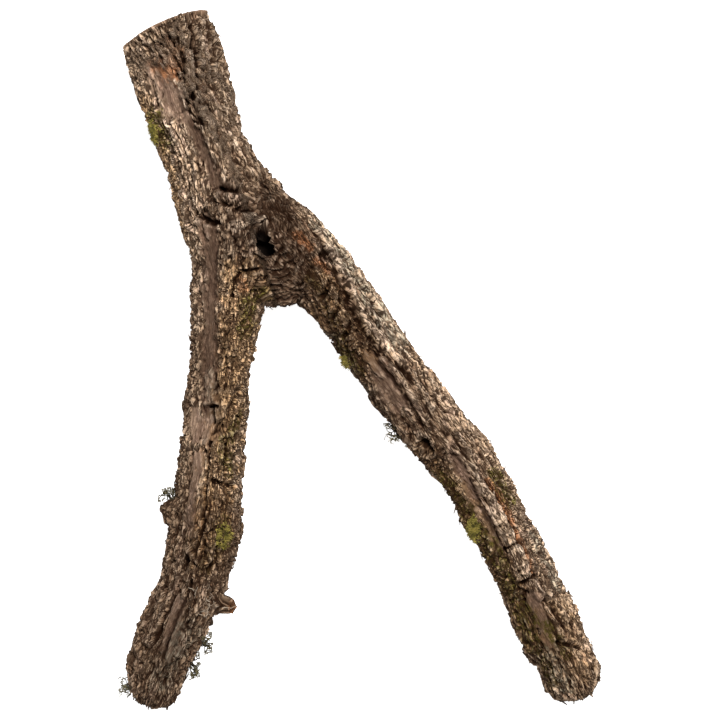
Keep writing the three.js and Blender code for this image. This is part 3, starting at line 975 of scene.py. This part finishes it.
def make_flakes(skin, fields, count):
    """Thin curled flakes of bark that lie along the grain with one end lifted."""
    luck = np.random.default_rng(21)
    normals = skin.normals()
    chance = (1 - 0.85 * fields["floor"]) * (1 - fields["cut"]) * (1 - fields["pit"])
    chance *= skin.points[:, 2] > 6
    normal, reach = sawn_plane()
    chance *= step(0.9, -0.3, fields["crevice"]) * (reach - skin.points @ normal > 9)
    hosts = luck.choice(len(skin.points), count, replace=False, p=chance / chance.sum())
    up = normals[hosts]
    along = fields["flow"][hosts] + 0.16 * luck.normal(size=up.shape)
    along -= np.einsum("ij,ij->i", along, up)[:, None] * up
    along /= np.linalg.norm(along, axis=1)[:, None]
    along *= luck.choice([-1, 1], count)[:, None]
    across = np.cross(up, along)
    sizes = (FLAKE_LENGTHS, FLAKE_WIDTHS, FLAKE_LIFTS)
    length, width, lift = [luck.uniform(least, most, count) for least, most in sizes]
    rows, columns = 5, 3
    grid = []
    for layer in (1, -1):
        for row in range(rows):
            for column in range(columns):
                x = row / (rows - 1)
                y = column / (columns - 1) * 2 - 1
                taper = 1 - 0.55 * abs(x - 0.4) + luck.uniform(-0.22, 0.22, count)
                thick = FLAKE_THICKNESS / 2 * layer * (1 - 0.5 * x)
                rise = -0.35 + lift * x**1.6 + thick - 0.25 * (y * y) * width / 2
                forward = length * (x - 0.4) + luck.normal(0, 0.25, count)
                place = skin.points[hosts] + along * forward[:, None]
                grid.append(place + across * (width / 2 * y * taper)[:, None] + up * rise[:, None])
    points = np.stack(grid, axis=1)
    faces = flake_faces(rows, columns)
    per_flake = 2 * rows * columns
    all_faces = (faces[None] + per_flake * np.arange(count)[:, None, None]).reshape(-1, 4)
    piece = make_object("bark_flakes", points.reshape(-1, 3), all_faces)
    shift = (points - skin.points[hosts][:, None]).reshape(-1, 3)
    own = {"grain": fields["grain"][hosts] + luck.uniform(-40, 40, (count, 3))}
    own["tone"] = luck.uniform(-0.8, 0.8, count)
    # A random crevice value for each flake, which paints a highlight on most flakes and a little shade on a
    # few.
    own["crevice"] = luck.uniform(-1.6, 0.3, count)
    for name in STORED:
        values = np.repeat(own.get(name, fields[name][hosts]), per_flake, axis=0)
        add_field(piece, name, values + shift if name == "grain" else values)
    return piece


# ---------------------------------------------------------------- moss and lichen


def make_tubes(name, paths, radii, tones):
    """One mesh of thin square-sided tubes that taper, each closed at both ends."""
    points, faces, tone = [], [], []
    count = 0
    for path, thick, own_tone in zip(paths, radii, tones):
        way = np.gradient(path, axis=0)
        way /= np.linalg.norm(way, axis=1)[:, None] + 1e-9
        helper = np.array([0.3, 0.2, 1.0]) if abs(way[0, 2]) < 0.8 else np.array([1.0, 0.1, 0.2])
        side = np.cross(way, helper)
        side /= np.linalg.norm(side, axis=1)[:, None]
        other = np.cross(way, side)
        for place, reach, s, o in zip(path, thick, side, other):
            points += [place + s * reach, place + o * reach, place - s * reach, place - o * reach]
        for ring in range(len(path) - 1):
            base = count + 4 * ring
            for k in range(4):
                faces.append((base + k, base + (k + 1) % 4, base + 4 + (k + 1) % 4, base + 4 + k))
        last = count + 4 * (len(path) - 1)
        faces += [(count + 3, count + 2, count + 1, count), (last, last + 1, last + 2, last + 3)]
        tone += [own_tone] * (4 * len(path))
        count += 4 * len(path)
    piece = make_object(name, np.array(points), np.array(faces))
    add_field(piece, "tone", np.array(tone))
    return piece


def bark_tree(skin, low, high):
    """The part of the sculpted skin near a box, ready for asking where it is nearest."""
    near = np.all((skin.points > low - 12) & (skin.points < high + 12), axis=1)
    quads = skin.quads[near[skin.quads].all(1)]
    used, compact = np.unique(quads, return_inverse=True)
    return BVHTree.FromPolygons([Vector(p) for p in skin.points[used]], compact.reshape(-1, 4).tolist())


def foothold(tree, place):
    """The point of the bark nearest to a place, and the outward normal there."""
    foot, normal, _, _ = tree.find_nearest(Vector(place))
    return np.array(foot), np.array(normal)


def make_moss(node, skin, blades, seed):
    """A cushion of short blades that grow out of the bark where the CAD cushion is."""
    luck = np.random.default_rng(seed)
    low, high = node_box(node)
    middle, half = (low + high) / 2, (high - low) / 2
    tree = bark_tree(skin, low, high)
    outward = foothold(tree, middle)[1]
    paths, radii, tones = [], [], []
    while len(paths) < blades:
        spot = luck.normal(size=3)
        spot = middle + half * [1, 1, 2] * spot / np.linalg.norm(spot) * luck.random() ** 0.33
        foot, normal = foothold(tree, spot)
        edge = np.linalg.norm((foot - middle) / (half * [1.12, 1.12, 2.4]))
        clump = smooth_noise(foot[None] / 3.4, seed)[0]
        if edge + 0.9 * clump > 0.85:
            continue
        cushion = max(0.0, 1 - edge * edge) * luck.uniform(0.55, 1.0)
        rise = 0.3 + 2.6 * cushion
        lean = luck.normal(size=3) * 0.45
        way = normal + 0.4 * outward + lean + [0, 0, 0.15]
        way /= np.linalg.norm(way)
        length = rise + luck.uniform(0.8, 1.9)
        bend = luck.normal(size=3) * 0.35
        share = np.linspace(0, 1, 4)[:, None]
        path = foot - normal * 0.4 + way * share * length + bend * share**2 * length * 0.5
        path[:, 2] = np.maximum(path[:, 2], 0.3)
        paths.append(path)
        radii.append(np.array([0.36, 0.32, 0.22, 0.07]) * luck.uniform(0.8, 1.3))
        tones.append(np.clip(0.2 + 0.4 * cushion - 0.9 * clump + luck.normal(0, 0.2), 0, 1))
    return make_tubes(node + "_blades", paths, radii, tones)


def make_lichen(node, skin, stems, seed):
    """A wiry sprig of lichen that branches out from the bark where the CAD tuft is."""
    luck = np.random.default_rng(seed)
    low, high = node_box(node)
    middle, half = (low + high) / 2, (high - low) / 2
    tree = bark_tree(skin, low, high)
    foot, normal = foothold(tree, middle)
    reach = 1.15 * half.max()
    paths, radii, tones = [], [], []

    def grow(start, way, length, thick, depth):
        steps = 6
        path = [start]
        for _ in range(steps):
            way = way + luck.normal(size=3) * 0.34
            way += 0.04 * (middle - path[-1]) / half.max()
            way /= np.linalg.norm(way)
            place = path[-1] + way * length / steps
            place = middle + np.clip(place - middle, -half * 1.12 - 0.8, half * 1.12 + 0.8)
            place[2] = max(place[2], 0.4)
            path.append(place)
        path = np.array(path)
        paths.append(path)
        radii.append(np.linspace(thick, thick * 0.55, len(path)))
        tones.append(np.clip(0.25 + 0.2 * depth + luck.normal(0, 0.14), 0, 1))
        if depth < 3:
            for _ in range(luck.integers(2, 4)):
                fork = luck.integers(2, len(path))
                turned = way + luck.normal(size=3) * 0.9
                turned /= np.linalg.norm(turned)
                grow(path[fork], turned, length * luck.uniform(0.4, 0.62), thick * 0.8, depth + 1)
        elif luck.random() < 0.5:
            tip = path[-1]
            paths.append(np.array([tip, tip + way * 0.5, tip + way]))
            radii.append(np.array([0.15, 0.5, 0.2]))
            tones.append(0.9)

    for _ in range(stems):
        inwards = (middle - foot) / (np.linalg.norm(middle - foot) + 1)
        way = normal + 0.7 * inwards + luck.normal(size=3) * 0.5
        start = foot + luck.normal(size=3) * half * 0.25
        start = foothold(tree, start)[0] - normal * 0.4
        grow(start, way / np.linalg.norm(way), reach * luck.uniform(1.0, 1.7), 0.55, 0)
    return make_tubes(node + "_sprig", paths, radii, tones)


def make_rootlets(skin, seed):
    """Fine pale rootlets that creep over the bark at the foot of the twig stub."""
    luck = np.random.default_rng(seed)
    low, high = node_box("twig_stub")
    reach = np.array([22.0, 18.0, 16.0])
    tree = bark_tree(skin, low - reach, high + reach)
    top = np.array([low[0] - 6, (low[1] + high[1]) / 2 + 3, high[2] + 6])
    paths, radii, tones = [], [], []
    for _ in range(ROOTLETS):
        place = top + luck.normal(size=3) * [8, 7, 2]
        heading = luck.uniform(0, 2 * np.pi)
        path = []
        for _ in range(luck.integers(8, 16)):
            foot, normal = foothold(tree, place)
            path.append(foot + normal * luck.uniform(0.1, 0.7))
            heading += luck.normal(0, 0.45)
            place = foot + np.array([np.cos(heading), np.sin(heading), 0]) * 1.5
        path = np.array(path)
        path[1:-1] = (path[:-2] + 2 * path[1:-1] + path[2:]) / 4
        paths.append(path)
        radii.append(np.linspace(0.34, 0.16, len(path)) * luck.uniform(0.7, 1.3))
        tones.append(luck.uniform(0.3, 1.0))
    return make_tubes("rootlets", paths, radii, tones)


# ---------------------------------------------------------------- materials


class Finish:
    """A material's node tree, built from short calls."""

    def __init__(self, name):
        self.material = bpy.data.materials.new(name)
        self.material.use_nodes = True
        self.nodes = self.material.node_tree.nodes
        self.links = self.material.node_tree.links
        self.shader = self.nodes["Principled BSDF"]

    def put(self, socket, value):
        if isinstance(value, bpy.types.NodeSocket):
            self.links.new(value, socket)
        else:
            socket.default_value = value

    def field(self, name, output="Fac"):
        node = self.nodes.new("ShaderNodeAttribute")
        node.attribute_name = name
        return node.outputs[output]

    def place(self, size):
        """The piece's own coordinates, scaled so that noise has features of this size, in millimetres."""
        place = self.nodes.new("ShaderNodeTexCoord").outputs["Object"]
        return self.stretched(place, size * MM, size * MM)

    def math(self, operation, first, second=0.0, third=0.0):
        node = self.nodes.new("ShaderNodeMath")
        node.operation = operation
        for socket, value in zip(node.inputs, (first, second, third)):
            self.put(socket, value)
        return node.outputs[0]

    def times(self, first, second):
        return self.math("MULTIPLY", first, second)

    def most(self, first, second):
        return self.math("MAXIMUM", first, second)

    def add(self, total, value, share):
        """The total, and this share of the value on top."""
        return self.math("MULTIPLY_ADD", value, share, total)

    def span(self, value, low, high, out_low=0.0, out_high=1.0):
        """Carries a value from one range to another, and keeps it inside the second."""
        node = self.nodes.new("ShaderNodeMapRange")
        node.interpolation_type = "SMOOTHSTEP"
        limits = {"From Min": low, "From Max": high, "To Min": out_low, "To Max": out_high}
        for name, number in limits.items():
            node.inputs[name].default_value = number
        self.put(node.inputs["Value"], value)
        return node.outputs["Result"]

    def stretched(self, vector, across, along):
        """Scales coordinates so that noise on them has features of this size, in millimetres."""
        node = self.nodes.new("ShaderNodeVectorMath")
        node.operation = "MULTIPLY"
        self.put(node.inputs[0], vector)
        node.inputs[1].default_value = (1 / across, 1 / across, 1 / along)
        return node.outputs[0]

    def noise_node(self, vector, detail):
        node = self.nodes.new("ShaderNodeTexNoise")
        node.inputs["Scale"].default_value = 1.0
        node.inputs["Detail"].default_value = detail
        self.put(node.inputs["Vector"], vector)
        return node

    def noise(self, vector, detail=3.0, roughness=0.6):
        node = self.noise_node(vector, detail)
        node.inputs["Roughness"].default_value = roughness
        return node.outputs["Fac"]

    def bent(self, vector, across, along, reach):
        """Coordinates that wander by up to reach, in swirls of this size, all in millimetres."""
        node = self.noise_node(self.stretched(vector, across, along), 2.0)
        shift = self.nodes.new("ShaderNodeVectorMath")
        shift.operation = "MULTIPLY_ADD"
        self.put(shift.inputs[0], node.outputs["Color"])
        shift.inputs[1].default_value = (reach, reach, reach)
        self.put(shift.inputs[2], vector)
        return shift.outputs[0]

    def cells_node(self, vector, feature):
        node = self.nodes.new("ShaderNodeTexVoronoi")
        node.feature = feature
        node.inputs["Scale"].default_value = 1.0
        self.put(node.inputs["Vector"], vector)
        return node

    def cell_edges(self, vector):
        """The distance to the nearest edge between cells."""
        return self.cells_node(vector, "DISTANCE_TO_EDGE").outputs["Distance"]

    def cell_tones(self, vector):
        """A random number for each cell."""
        split = self.nodes.new("ShaderNodeSeparateColor")
        self.put(split.inputs["Color"], self.cells_node(vector, "F1").outputs["Color"])
        return split.outputs["Red"]

    def threads(self, vector, width):
        """Thin wandering lines, 1 on a line and 0 beside it."""
        away = self.math("ABSOLUTE", self.math("SUBTRACT", self.noise(vector, 2.0, 0.55), 0.5))
        return self.span(away, width, width * 0.3)

    def ramp(self, value, stops):
        node = self.nodes.new("ShaderNodeValToRGB")
        band = node.color_ramp
        while len(band.elements) < len(stops):
            band.elements.new(0.5)
        for element, (position, colour) in zip(band.elements, stops):
            element.position = position
            element.color = (*colour, 1)
        self.put(node.inputs["Fac"], value)
        return node.outputs["Color"]

    def mix(self, first, second, share, blend="MIX"):
        node = self.nodes.new("ShaderNodeMix")
        node.data_type = "RGBA"
        node.blend_type = blend
        self.put(node.inputs["Factor"], share)
        for key, value in (("A", first), ("B", second)):
            socket = next(s for s in node.inputs if s.name == key and s.type == "RGBA")
            self.put(socket, (*value, 1) if isinstance(value, tuple) else value)
        return next(s for s in node.outputs if s.type == "RGBA")

    def layers(self, colour, *tints):
        """Lays tints over a colour, each as strongly as its share says."""
        for tint, share in tints:
            colour = self.mix(colour, tint, share)
        return colour

    def surface(self, colour, roughness, gloss, relief, depth):
        """Gives the shader its colour, roughness and gloss, and bumps of this depth in millimetres."""
        node = self.nodes.new("ShaderNodeBump")
        node.inputs["Strength"].default_value = 1.0
        node.inputs["Distance"].default_value = depth * MM
        self.put(node.inputs["Height"], relief)
        self.put(self.shader.inputs["Base Color"], colour)
        self.put(self.shader.inputs["Roughness"], roughness)
        self.put(self.shader.inputs["Normal"], node.outputs["Normal"])
        self.shader.inputs["Specular IOR Level"].default_value = gloss
        return self.material


DEEP = (0.015, 0.0056, 0.0022)
UMBER = (0.13, 0.074, 0.044)
BROWN = (0.34, 0.212, 0.132)
TAN = (0.53, 0.365, 0.235)
PALE = (0.68, 0.51, 0.37)
PINKISH = (0.62, 0.40, 0.28)
FLOOR_DARK = (0.095, 0.056, 0.042)
FLOOR_LIGHT = (0.31, 0.20, 0.15)
RUST = (0.52, 0.22, 0.095)
OLIVE = (0.43, 0.335, 0.14)
MOSS_DARK = (0.050, 0.044, 0.010)
MOSS_LIGHT = (0.20, 0.165, 0.032)
MOSS_TIP = (0.42, 0.325, 0.085)
LICHEN_GREY = (0.40, 0.37, 0.28)
LICHEN_TONES = (0.014, 0.011, 0.005), (0.060, 0.050, 0.022), (0.18, 0.15, 0.08)
ROOT_TONES = (0.12, 0.08, 0.055), (0.28, 0.21, 0.15), (0.45, 0.37, 0.28)
GNARL = (0.13, 0.078, 0.050)


CUT_DARK = (0.20, 0.125, 0.070)
CUT_LIGHT = (0.47, 0.33, 0.20)
CUT_RING = (0.16, 0.095, 0.055)
# The painted shade inside the knot's hollow.
PAINTED_HOLLOW_SHADE = (0.006, 0.004, 0.003)
# Gains of the light and dusk zones: painted light and painted shade on the limbs' flanks, partly paler and
# darker bark.
BRIGHTER = (1.36, 1.36, 1.36)
DIMMER = (0.55, 0.52, 0.50)


def end_grain(finish):
    """The sawn end: yearly rings, radial checks and weathered grey-brown wood inside a rim of bark."""
    wobble = finish.noise(finish.place(14), 2.0, 0.5)
    pores = finish.noise(finish.place(0.7), 3.0, 0.7)
    ring = finish.math("SINE", finish.times(finish.add(finish.field("out"), wobble, 9.0), 3.1))
    checks = finish.threads(finish.place(11), 0.016)
    bark_line = finish.add(finish.field("rim"), wobble, 0.16)
    return finish.layers(
        finish.ramp(pores, [(0.25, CUT_DARK), (0.75, CUT_LIGHT)]),
        (CUT_RING, finish.span(ring, 0.1, 1.0, 0.0, 0.5)),
        (DEEP, finish.times(checks, finish.span(wobble, 0.4, 0.55, 0.0, 0.9))),
        (DEEP, finish.span(bark_line, 0.17, 0.24, 0.0, 0.8)),
        (finish.ramp(pores, [(0.3, UMBER), (0.7, BROWN)]), finish.span(bark_line, 0.23, 0.28)),
    )


def fine_cracks(finish, grain, bent, scales):
    """Fine dark cracks: long wandering ones along the grain, short ones across it, and round the scales."""
    breaks = finish.noise(finish.stretched(grain, 3.0, 5.0), 2.0, 0.5)
    along = finish.threads(finish.stretched(bent, 2.8, 19.0), 0.085)
    along = finish.most(along, finish.threads(finish.stretched(bent, 1.7, 11.0), 0.06))
    along = finish.times(along, finish.span(breaks, 0.38, 0.5))
    across = finish.threads(finish.stretched(bent, 6.5, 2.3), 0.08)
    layered = finish.most(finish.field("blocks"), finish.field("ledges"))
    across = finish.times(across, finish.span(layered, 0.0, 1.0, 0.45, 1.0))
    across = finish.times(across, finish.span(breaks, 0.60, 0.44))
    edges = finish.times(finish.span(finish.cell_edges(scales), 0.12, 0.04), 0.85)
    rugged = finish.span(finish.field("floor"), 0.2, 1.0, 1.0, 0.6)
    return finish.times(finish.most(finish.most(along, across), edges), rugged)


def bark_finish():
    """Bark: tan crests, paler on top partly as a painted highlight, dark crevices and hollows partly as
    painted shade, purple-brown furrow floors, rusty, mossy and grey patches, and flanks painted lighter and
    darker, partly as light and shade.
    """
    finish = Finish("bark")
    field, times, span = finish.field, finish.times, finish.span
    grain = field("grain", "Vector")
    bent = finish.bent(grain, 6.0, 20.0, 2.2)
    scales = finish.stretched(finish.bent(bent, 3.6, 10.0, 1.3), 3.3, 15.0)
    scale_tone = finish.cell_tones(scales)
    cracks = fine_cracks(finish, grain, bent, scales)
    fibres = finish.noise(finish.stretched(bent, 1.0, 11.0), 3.0, 0.65)
    specks = finish.noise(finish.stretched(bent, 1.5, 7.0), 3.0, 0.7)
    patches = finish.noise(finish.stretched(grain, 8.0, 18.0))
    streaks = finish.noise(finish.stretched(bent, 1.2, 9.0), 5.0, 0.7)
    film = finish.noise(finish.stretched(grain, 2.6, 3.4), 4.0, 0.7)

    # Painted shade: the tone darkens a little where the bark lies below its wider surroundings.
    tone = finish.add(0.52, field("nook"), -0.06)
    for source, share in ((patches, 0.95), (specks, 0.2), (fibres, 0.75), (scale_tone, 0.2)):
        tone = finish.add(tone, finish.math("SUBTRACT", source, 0.5), share)
    tone = finish.add(tone, field("tone"), 0.14)
    colour = finish.layers(
        finish.ramp(tone, [(0.05, UMBER), (0.32, BROWN), (0.56, TAN), (0.9, PALE)]),
        (PINKISH, span(patches, 0.54, 0.66, 0.0, 0.5)),
        (finish.ramp(streaks, [(0.3, FLOOR_DARK), (0.7, FLOOR_LIGHT)]), times(field("floor"), 0.65)),
        (GNARL, times(field("gnarl"), 0.62)),
        (TAN, times(field("crumbs"), 0.3)),
    )
    golden = finish.mix(colour, OLIVE, 0.75, "OVERLAY")
    colour = finish.layers(
        colour,
        (golden, times(field("olive"), span(patches, 0.35, 0.6, 0.25, 0.65))),
        (RUST, times(field("rust"), span(specks, 0.35, 0.6, 0.5, 0.9))),
        (LICHEN_GREY, times(field("grey"), span(specks, 0.4, 0.6, 0.1, 0.7))),
        (finish.ramp(specks, [(0.3, MOSS_DARK), (0.7, MOSS_LIGHT)]),
         times(field("moss"), span(film, 0.38, 0.54, 0.0, 0.92))),
    )
    # Painted light and painted shade: the light zones lift whole flanks and the dusk zones darken them,
    # partly as paler and darker bark.
    colour = finish.mix(colour, BRIGHTER, field("light"), "MULTIPLY")
    colour = finish.mix(colour, DIMMER, field("dusk"), "MULTIPLY")
    crevice = field("crevice")
    colour = finish.layers(
        colour,
        # Crests that stand over their surroundings turn pale: partly paler worn crests, partly a painted
        # highlight.
        (PALE, span(crevice, -0.5, -2.2, 0.0, 0.25)),
        (PALE, times(field("lip"), span(fibres, 0.38, 0.6, 0.2, 0.8))),
        (DEEP, times(cracks, 0.95)),
        # Painted shade: the bark darkens to near black where it lies below its near surroundings, partly as
        # the darker bark inside cracks.
        (DEEP, span(crevice, 0.1, 2.0, 0.0, 0.93)),
        (end_grain(finish), field("cut")),
        # Painted shade: the knot's hollow is filled with near black.
        (PAINTED_HOLLOW_SHADE, span(field("pit"), 0.15, 0.8, 0.0, 0.97)),
    )
    relief = finish.add(finish.add(finish.add(fibres, specks, 0.35), scale_tone, 0.15), cracks, -0.6)
    return finish.surface(colour, span(specks, 0.2, 0.8, 0.78, 0.97), 0.03, relief, 1.3)


def growth_finish(name, dark, light, tip):
    """Moss, lichen or rootlets: each strand has its own tone, and a mottled skin."""
    finish = Finish(name)
    fine = finish.noise(finish.place(0.5), 2.0)
    mottle = finish.math("SUBTRACT", finish.noise(finish.place(3)), 0.5)
    tone = finish.add(finish.field("tone"), mottle, 0.8)
    colour = finish.ramp(tone, [(0.0, dark), (0.55, light), (1.0, tip)])
    return finish.surface(colour, finish.span(fine, 0.2, 0.8, 0.7, 0.95), 0.2, fine, 0.2)


# ---------------------------------------------------------------- floor, light and camera


def add_stage():
    """A plain pale floor that runs past the view."""
    mesh = bpy.data.meshes.new("floor")
    reach = 6.0
    corners = [(-reach, -reach, 0), (reach, -reach, 0), (reach, reach, 0), (-reach, reach, 0)]
    mesh.from_pydata(corners, [], [(0, 1, 2, 3)])
    floor = bpy.data.objects.new("floor", mesh)
    bpy.context.scene.collection.objects.link(floor)
    finish = Finish("floor")
    inputs = finish.shader.inputs
    inputs["Base Color"].default_value = (0.93, 0.93, 0.93, 1)
    inputs["Roughness"].default_value = 0.9
    inputs["Specular IOR Level"].default_value = 0.0
    inputs["Emission Color"].default_value = (1, 1, 1, 1)
    inputs["Emission Strength"].default_value = 0.78
    mesh.materials.append(finish.material)


def light_scene():
    """A soft studio: brightness all round, and one lamp high up past the sawn end, a little to the right."""
    world = bpy.data.worlds.new("studio")
    world.use_nodes = True
    sky = world.node_tree.nodes["Background"]
    sky.inputs["Color"].default_value = (1, 1, 1, 1)
    sky.inputs["Strength"].default_value = 0.72
    bpy.context.scene.world = world
    lamp = bpy.data.lights.new("key", "AREA")
    lamp.shape = "DISK"
    lamp.size = 0.7
    lamp.energy = 73
    light = bpy.data.objects.new("key", lamp)
    light.location = (0.38, 0.85, 2.2)
    light.rotation_euler = (-light.location).to_track_quat("-Z", "Y").to_euler()
    bpy.context.scene.collection.objects.link(light)
    bpy.context.scene.view_settings.view_transform = "Standard"


def add_camera():
    """Straight above the branch, at the distance where its length nearly fills the frame."""
    low, high = [Vector(corner) for corner in cad_box]
    lens, sensor = 85.0, 36.0
    wood_top = 0.035  # the height at which the frame's edges are measured
    framed = 1.031 * (high.y - low.y)
    camera = bpy.data.objects.new("camera", bpy.data.cameras.new("camera"))
    camera.data.lens = lens
    camera.data.sensor_width = sensor
    camera.location = ((low.x + high.x) / 2, (low.y + high.y) / 2, wood_top + framed * lens / sensor)
    camera.data.clip_end = 20
    bpy.context.scene.collection.objects.link(camera)
    bpy.context.scene.camera = camera


# ---------------------------------------------------------------- the whole branch


def dress(piece, material, node=None):
    """Gives a piece its material and slot, hangs it on the body, and hides the CAD node that it stands for,
    if any.
    """
    piece.data.materials.append(material)
    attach(piece, BODY)
    if node:
        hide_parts(node)


def make_branch():
    stem, branch = find_limbs()
    skin = join_wood()
    skin.points = skin.blurred(skin.points, SKIN_SMOOTHING)
    flat_points = skin.points.copy()
    fields = blend_limbs(skin, stem, branch)
    sculpt(skin, fields)
    bark = bark_finish()
    for node, piece in part_skin(skin, flat_points, fields).items():
        dress(piece, bark, node)
    dress(make_flakes(skin, fields, FLAKES), bark)

    moss = growth_finish("moss", MOSS_DARK, MOSS_LIGHT, MOSS_TIP)
    lichen = growth_finish("lichen", *LICHEN_TONES)
    roots = growth_finish("rootlets", *ROOT_TONES)
    for seed, node in enumerate(sorted(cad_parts)):
        if node.startswith("moss"):
            blades = SPARSE_BLADES if node in SPARSE_MOSS else BLADES
            dress(make_moss(node, skin, blades, 600 + seed), moss, node)
        elif node.startswith("lichen"):
            dress(make_lichen(node, skin, LICHEN_STEMS, 700 + seed), lichen, node)
    dress(make_rootlets(skin, 800), roots)


add_stage()
light_scene()
add_camera()
make_branch()
